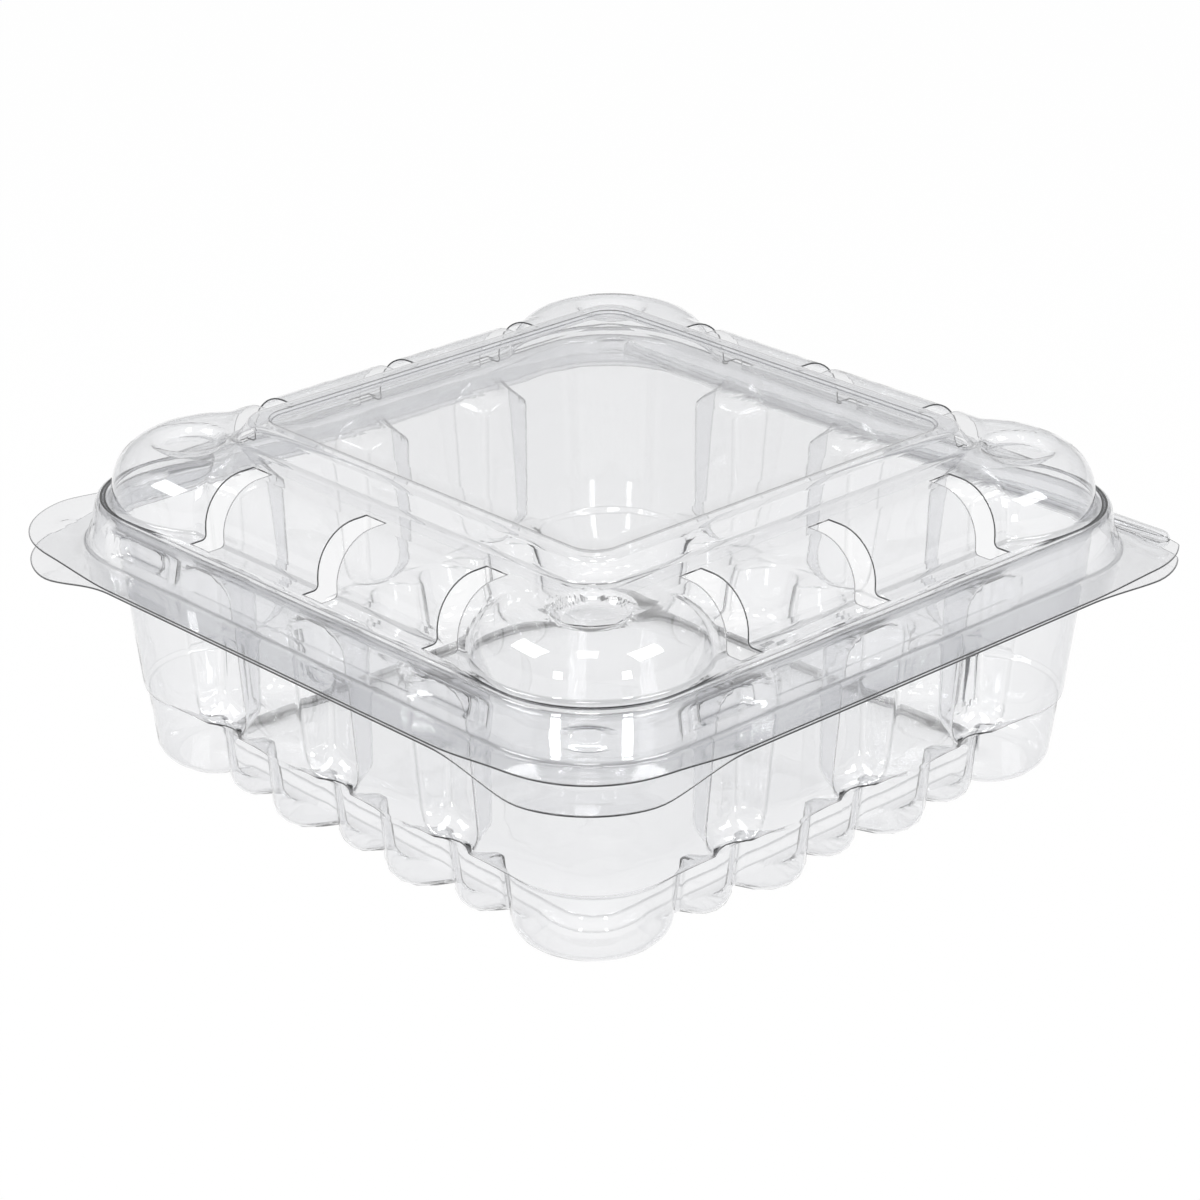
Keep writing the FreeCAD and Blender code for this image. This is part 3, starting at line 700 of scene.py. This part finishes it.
def clear_plastic():
    """Clear PET: glossy and see-through, greyer where the sheet is seen edge on.

    The tint goes with how much the surface faces the eye, since a slanting ray runs further through
    the sheet. Sharp folds get painted shade, a dark line standing in for what refraction and internal
    reflection show there, and trimmed edges get the darkest painted shade. One noise varies the gloss
    and the other gives a formed sheet's waves."""
    material = bpy.data.materials.new("clear_plastic")
    material.use_nodes = True
    tree = material.node_tree
    shader = tree.nodes["Principled BSDF"]
    shader.inputs["IOR"].default_value = PLASTIC_IOR

    def node(kind, **values):
        """A new node with values set on its inputs, which are named with _ for a space."""
        made = tree.nodes.new("ShaderNode" + kind)
        for name, value in values.items():
            made.inputs[name.replace("_", " ")].default_value = value
        return made

    def mix(colour):
        """A node that mixes another colour toward this one."""
        made = tree.nodes.new("ShaderNodeMix")
        made.data_type = "RGBA"
        made.inputs["B"].default_value = colour
        return made

    def mark(name):
        """A node that reads one of the mesh's own numbers."""
        made = tree.nodes.new("ShaderNodeAttribute")
        made.attribute_name = name
        return made.outputs["Fac"]

    link = tree.links.new
    weight = node("LayerWeight", Blend=FACING_BLEND)
    tint = node("ValToRGB")
    face, side = tint.color_ramp.elements
    face.position, face.color = 0.0, FACE_TINT
    side.position, side.color = 1.0, SIDE_TINT
    link(weight.outputs["Facing"], tint.inputs["Fac"])

    # Painted shade: where the sheet bends sharply its colour is darkened toward a dark grey, standing in for
    # the dark line that refraction and internal reflection give at a fold.
    fold = node("MapRange", From_Min=FOLD_FROM, From_Max=FOLD_TO)
    crisp = node("Math")
    crisp.operation = "POWER"
    crisp.inputs[1].default_value = FOLD_POWER
    darker = mix(FOLD_SHADE)
    link(mark("bend"), fold.inputs["Value"])
    link(fold.outputs["Result"], crisp.inputs[0])
    link(crisp.outputs["Value"], darker.inputs["Factor"])
    link(tint.outputs["Color"], darker.inputs["A"])

    # Painted shade: on trimmed edges the colour is made almost black and little light goes through, standing
    # in for the dark line a cut edge shows by refraction and internal reflection.
    trimmed = mark("cut_edge")
    edge = mix(CUT_SHADE)
    clear = node("MapRange", To_Min=1.0, To_Max=CUT_CLEAR)
    link(trimmed, edge.inputs["Factor"])
    link(trimmed, clear.inputs["Value"])
    link(darker.outputs["Result"], edge.inputs["A"])
    link(edge.outputs["Result"], shader.inputs["Base Color"])
    link(clear.outputs["Result"], shader.inputs["Transmission Weight"])

    place = node("TexCoord")
    cloud = node("TexNoise", Scale=CLOUD_SCALE, Detail=CLOUD_DETAIL)
    gloss = node("MapRange", From_Min=CLOUD_RANGE[0], From_Max=CLOUD_RANGE[1],
                 To_Min=GLOSS_RANGE[0], To_Max=GLOSS_RANGE[1])
    link(place.outputs["Object"], cloud.inputs["Vector"])
    link(cloud.outputs["Fac"], gloss.inputs["Value"])
    link(gloss.outputs["Result"], shader.inputs["Roughness"])

    wave = node("TexNoise", Scale=WAVE_SCALE, Detail=WAVE_DETAIL)
    bump = node("Bump", Strength=WAVE_STRENGTH, Distance=WAVE_DISTANCE)
    link(place.outputs["Object"], wave.inputs["Vector"])
    link(wave.outputs["Fac"], bump.inputs["Height"])
    link(bump.outputs["Normal"], shader.inputs["Normal"])
    return material


def stage():
    """A plain white light table and a soft sky, brighter overhead."""
    mesh = bpy.data.meshes.new("floor")
    corners = [(x * FLOOR_REACH, y * FLOOR_REACH, 0) for x, y in ((-1, -1), (1, -1), (1, 1), (-1, 1))]
    mesh.from_pydata(corners, [], [(0, 1, 2, 3)])
    floor = bpy.data.objects.new("floor", mesh)
    bpy.context.scene.collection.objects.link(floor)
    pale = bpy.data.materials.new("pale_floor")
    pale.use_nodes = True
    shader = pale.node_tree.nodes["Principled BSDF"]
    shader.inputs["Base Color"].default_value = FLOOR_COLOUR
    shader.inputs["Emission Color"].default_value = WHITE
    shader.inputs["Emission Strength"].default_value = FLOOR_GLOW
    shader.inputs["Roughness"].default_value = 1.0
    shader.inputs["Specular IOR Level"].default_value = 0.0
    mesh.materials.append(pale)

    world = bpy.data.worlds.new("studio")
    bpy.context.scene.world = world
    world.use_nodes = True
    nodes, link = world.node_tree.nodes, world.node_tree.links.new
    sky = nodes["Background"]
    sky.inputs["Color"].default_value = WHITE
    way = nodes.new("ShaderNodeTexCoord")
    split = nodes.new("ShaderNodeSeparateXYZ")
    height = nodes.new("ShaderNodeMapRange")
    height.inputs["To Min"].default_value = HORIZON_LIGHT
    height.inputs["To Max"].default_value = ZENITH_LIGHT
    link(way.outputs["Generated"], split.inputs["Vector"])
    link(split.outputs["Z"], height.inputs["Value"])
    link(height.outputs["Result"], sky.inputs["Strength"])


def area_light(name, place, aim, width, height, watts):
    """A soft rectangular lamp at a place, facing a point."""
    lamp = bpy.data.lights.new(name, "AREA")
    lamp.shape = "RECTANGLE"
    lamp.size, lamp.size_y = width, height
    lamp.energy = watts
    thing = bpy.data.objects.new(name, lamp)
    bpy.context.scene.collection.objects.link(thing)
    way = Vector(aim) - Vector(place)
    thing.rotation_euler = way.to_track_quat("-Z", "Y").to_euler()
    thing.location = place


def place_camera():
    """The photograph's view: turned and raised about the crown's middle, then slid sideways and down."""
    azimuth, elevation = math.radians(VIEW_AZIMUTH), math.radians(VIEW_ELEVATION)
    right = Vector((math.cos(azimuth), math.sin(azimuth), 0.0))
    ahead = Vector((math.sin(azimuth), -math.cos(azimuth), 0.0))
    back = ahead * math.cos(elevation) + Vector((0.0, 0.0, math.sin(elevation)))
    up = back.cross(right)
    lens = bpy.data.cameras.new("camera")
    lens.sensor_width = SENSOR
    lens.lens = SENSOR * VIEW_FOCAL
    lens.clip_start, lens.clip_end = 0.01, 50.0
    camera = bpy.data.objects.new("camera", lens)
    bpy.context.scene.collection.objects.link(camera)
    aim = Vector((0.0, AXIS_Y, CROWN_Z))
    place = (back * VIEW_DISTANCE + right * VIEW_SLIDE + up * VIEW_DROP + aim) * MM
    turn = Matrix((right, up, back)).transposed().to_4x4()
    camera.matrix_world = Matrix.Translation(place) @ turn
    bpy.context.scene.camera = camera


def light_paths():
    """A ray crosses many clear walls before it reaches the floor, so it may be passed on often."""
    cycles = bpy.context.scene.cycles
    cycles.max_bounces = BOUNCES
    cycles.transmission_bounces = BOUNCES
    cycles.transparent_max_bounces = BOUNCES
    cycles.glossy_bounces = GLOSSY_BOUNCES
    bpy.context.scene.view_settings.view_transform = "Standard"


place_camera()
stage()
light_paths()
for lamp in LAMPS:
    area_light(*lamp)
plastic = clear_plastic()
make_lid(plastic)
make_tray(plastic)
make_bead("lid_hinge_bead", LID_TOP_Z - SHEET, 1, "lid", "lid", plastic)
make_bead("tray_hinge_bead", TRAY_UNDER_Z + SHEET, -1, "base", "base_tray", plastic)
